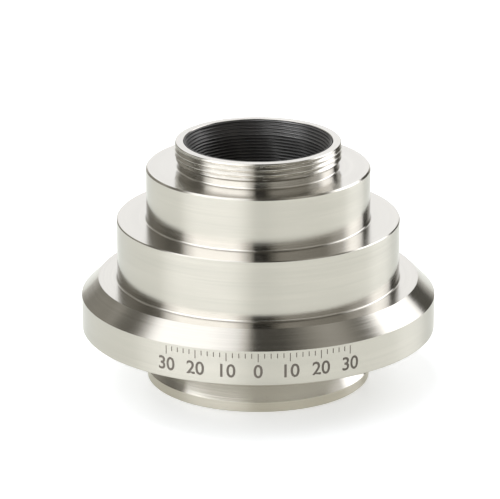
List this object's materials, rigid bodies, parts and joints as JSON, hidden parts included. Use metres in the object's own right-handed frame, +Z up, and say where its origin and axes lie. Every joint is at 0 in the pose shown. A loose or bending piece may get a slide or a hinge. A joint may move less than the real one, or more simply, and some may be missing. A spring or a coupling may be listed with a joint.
{
  "type": "microscope camera adapter",
  "caption": "Stepped steel tube that joins a camera with a 1 inch threaded mount to a microscope's photo tube, with reducing lenses inside and a dovetail foot.",
  "frame": {"origin": "middle of the foot's lower face, on the optical axis, at the bottom of the part", "axes": "+Z up along the optical axis from the microscope to the camera, +X and +Y across it, with the spanner slots of the inner rings along X"},
  "size_m": [0.0544, 0.0544, 0.0377],
  "materials": {
    "turned_steel": "bright turned, fine tool lines round the axis",
    "black_anodised_aluminium": "black anodised, dull",
    "blackened_brass": "chemically blackened, dull",
    "crown_glass": "polished and coated",
    "flint_glass": "polished and coated"
  },
  "bodies": {
    "root": {"adapter_body": "turned_steel", "baffle_sleeve": "black_anodised_aluminium", "lens_cell": "black_anodised_aluminium", "rear_flint_lens": "flint_glass", "rear_crown_lens": "crown_glass", "lens_spacer": "black_anodised_aluminium", "front_flint_lens": "flint_glass", "front_crown_lens": "crown_glass", "retaining_ring": "blackened_brass", "lock_ring": "blackened_brass"}
  },
  "joints": []
}
